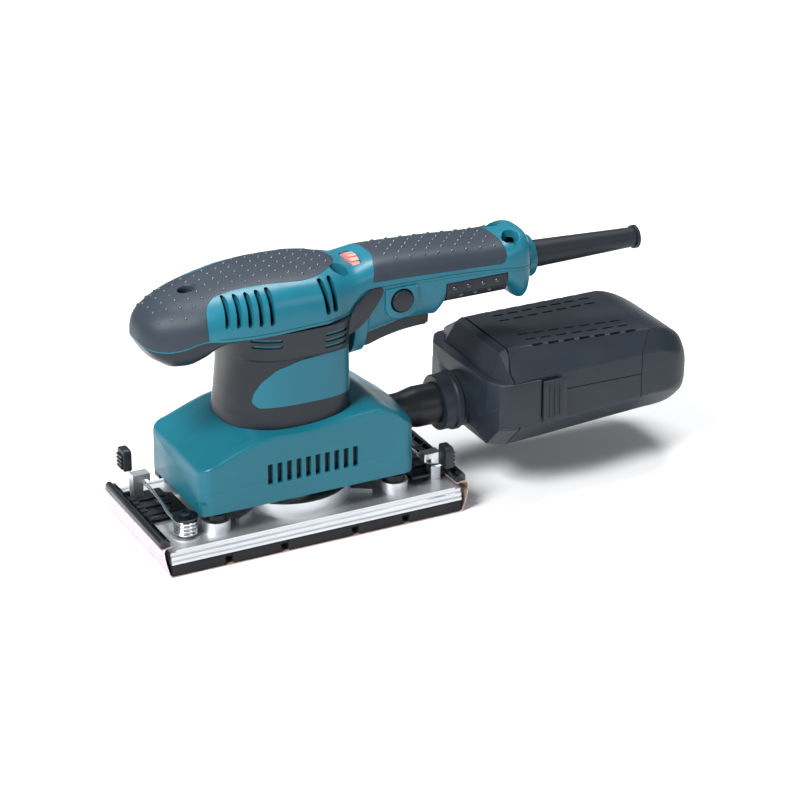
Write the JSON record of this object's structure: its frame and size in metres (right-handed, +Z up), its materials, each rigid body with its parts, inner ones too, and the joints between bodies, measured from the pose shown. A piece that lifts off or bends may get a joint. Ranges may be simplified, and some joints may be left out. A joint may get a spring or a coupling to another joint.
{
  "type": "orbital sander",
  "caption": "Corded third-sheet orbital sander with top grip, rear handle with trigger, sprung paper clamps on a cast pad, and a clip-on rear dust box.",
  "frame": {"origin": "centre of the sanding face, on the underside of the abrasive sheet", "axes": "+Z up, +X along the tool towards the cord and dust box, -Z out of the sanding face"},
  "size_m": [0.3526, 0.0984, 0.161],
  "materials": {
    "teal_plastic": "satin moulded",
    "teal_skirt": "satin painted casting look",
    "soft_grip": "matt, dimpled",
    "black_rubber": "matt",
    "dark_plastic": "fine texture",
    "black_plastic": "fine texture",
    "box_plastic": "fine texture",
    "steel": "zinc plated",
    "black_steel": "black oxide",
    "spring_steel": "bright nickel",
    "bearing_steel": "ground",
    "laminations": "stacked sheet",
    "copper": "enamelled copper",
    "brass": "pressed",
    "carbon": "matt",
    "circuit_board": "lacquered",
    "cast_aluminium": "cast and brushed",
    "pad_rubber": "cellular, matt",
    "abrasive_paper": "gritted",
    "dial_plastic": "ribbed",
    "filter_paper": "pleated"
  },
  "bodies": {
    "housing": {"upper_cover": "teal_plastic", "grip_overmould": "soft_grip", "handle_overmould": "soft_grip", "lower_handle": "teal_plastic", "lower_grip_insert": "black_rubber", "side_inserts": "black_rubber", "motor_housing": "dark_plastic", "badge_panels": "teal_plastic", "base_skirt": "teal_skirt", "skirt_bumper": "black_rubber", "cord_guard": "black_rubber", "cord_clamp": "dark_plastic", "cord_clamp_screws": "steel", "cover_screws": "steel", "bracket_screws": "steel", "stator": "laminations", "field_coils": "copper", "upper_bearing": "bearing_steel", "upper_bearing_bridge": "dark_plastic", "lower_bearing": "bearing_steel", "bearing_bracket": "cast_aluminium", "brush_holders": "brass", "carbon_brushes": "carbon", "switch_body": "black_plastic", "speed_controller": "circuit_board", "trigger_pin": "steel", "dust_nozzle": "black_plastic"},
    "armature": {"armature_shaft": "steel", "armature_core": "laminations", "armature_windings": "copper", "commutator": "copper", "cooling_fan": "black_plastic", "counterweight": "steel"},
    "pad": {"base_plate": "cast_aluminium", "rubber_pad": "pad_rubber", "sandpaper": "abrasive_paper", "pad_bearing": "bearing_steel", "bearing_retainer": "steel", "support_posts": "black_rubber", "front_hook": "cast_aluminium", "rear_hook": "cast_aluminium", "clamp_screws": "black_steel"},
    "front_lever": {"front_clamp_wire": "spring_steel", "front_lever_cap": "black_plastic"},
    "rear_lever": {"rear_clamp_wire": "spring_steel", "rear_lever_cap": "black_plastic"},
    "front_clamp": {"front_paper_clamp": "black_steel"},
    "rear_clamp": {"rear_paper_clamp": "black_steel"},
    "trigger": {"switch_trigger": "dark_plastic"},
    "button": {"lock_button": "dark_plastic"},
    "dial": {"speed_dial": "dial_plastic"},
    "dust_cap": {"dust_box_cap": "box_plastic", "nozzle_seal": "black_rubber"},
    "dust_box": {"dust_box_body": "box_plastic", "dust_box_end": "box_plastic", "dust_filter": "filter_paper"},
    "latch_left": {"left_latch": "box_plastic"},
    "latch_right": {"right_latch": "box_plastic"}
  },
  "joints": [
    {"name": "armature_spin", "type": "hinge", "parent": "housing", "child": "armature", "pos_m": [-0.001, 0, 0.085], "axis": [0, 0, 1], "continuous": true},
    {"name": "pad_orbit", "type": "hinge", "parent": "armature", "child": "pad", "pos_m": [0, 0, 0.0205], "axis": [0, 0, 1], "continuous": true},
    {"name": "front_lever_swing", "type": "hinge", "parent": "pad", "child": "front_lever", "pos_m": [-0.076, -0.028, 0.021], "axis": [0, 0, -1], "range_deg": [0, 8], "stiffness_Nm_per_rad": 1.5, "springref_deg": -6.88},
    {"name": "rear_lever_swing", "type": "hinge", "parent": "pad", "child": "rear_lever", "pos_m": [0.076, 0.028, 0.021], "axis": [0, 0, -1], "range_deg": [0, 8], "stiffness_Nm_per_rad": 1.5, "springref_deg": -6.88},
    {"name": "front_clamp_open", "type": "hinge", "parent": "pad", "child": "front_clamp", "pos_m": [-0.066, 0, 0.0182], "axis": [0, 1, 0], "range_deg": [0, 6]},
    {"name": "rear_clamp_open", "type": "hinge", "parent": "pad", "child": "rear_clamp", "pos_m": [0.066, 0, 0.0182], "axis": [0, -1, 0], "range_deg": [0, 6]},
    {"name": "trigger_pull", "type": "hinge", "parent": "housing", "child": "trigger", "pos_m": [0.0485, 0, 0.1145], "axis": [0, -1, 0], "range_deg": [0, 6], "stiffness_Nm_per_rad": 1.2, "springref_deg": -5.73},
    {"name": "lock_press", "type": "slide", "parent": "housing", "child": "button", "axis": [0, 1, 0], "range_m": [0, 0.003], "stiffness_N_per_m": 600, "springref_m": -0.002},
    {"name": "dial_turn", "type": "hinge", "parent": "housing", "child": "dial", "pos_m": [0.041, -0.004, 0.1466], "axis": [1, 0, 0], "range_deg": [-120, 120]},
    {"name": "dust_box_pull", "type": "slide", "parent": "housing", "child": "dust_cap", "axis": [1, 0, 0], "range_m": [0, 0.03]},
    {"name": "dust_box_open", "type": "slide", "parent": "dust_cap", "child": "dust_box", "axis": [1, 0, 0], "range_m": [0, 0.09]},
    {"name": "left_latch_press", "type": "slide", "parent": "dust_box", "child": "latch_left", "axis": [0, 1, 0], "range_m": [0, 0.001], "stiffness_N_per_m": 800, "springref_m": -0.001},
    {"name": "right_latch_press", "type": "slide", "parent": "dust_box", "child": "latch_right", "axis": [0, -1, 0], "range_m": [0, 0.001], "stiffness_N_per_m": 800, "springref_m": -0.001}
  ],
  "couplings": [
    {"joint": "pad_orbit", "follows": "armature_spin", "ratio": -1},
    {"joint": "front_clamp_open", "follows": "front_lever_swing", "ratio": 0.75},
    {"joint": "rear_clamp_open", "follows": "rear_lever_swing", "ratio": 0.75}
  ]
}
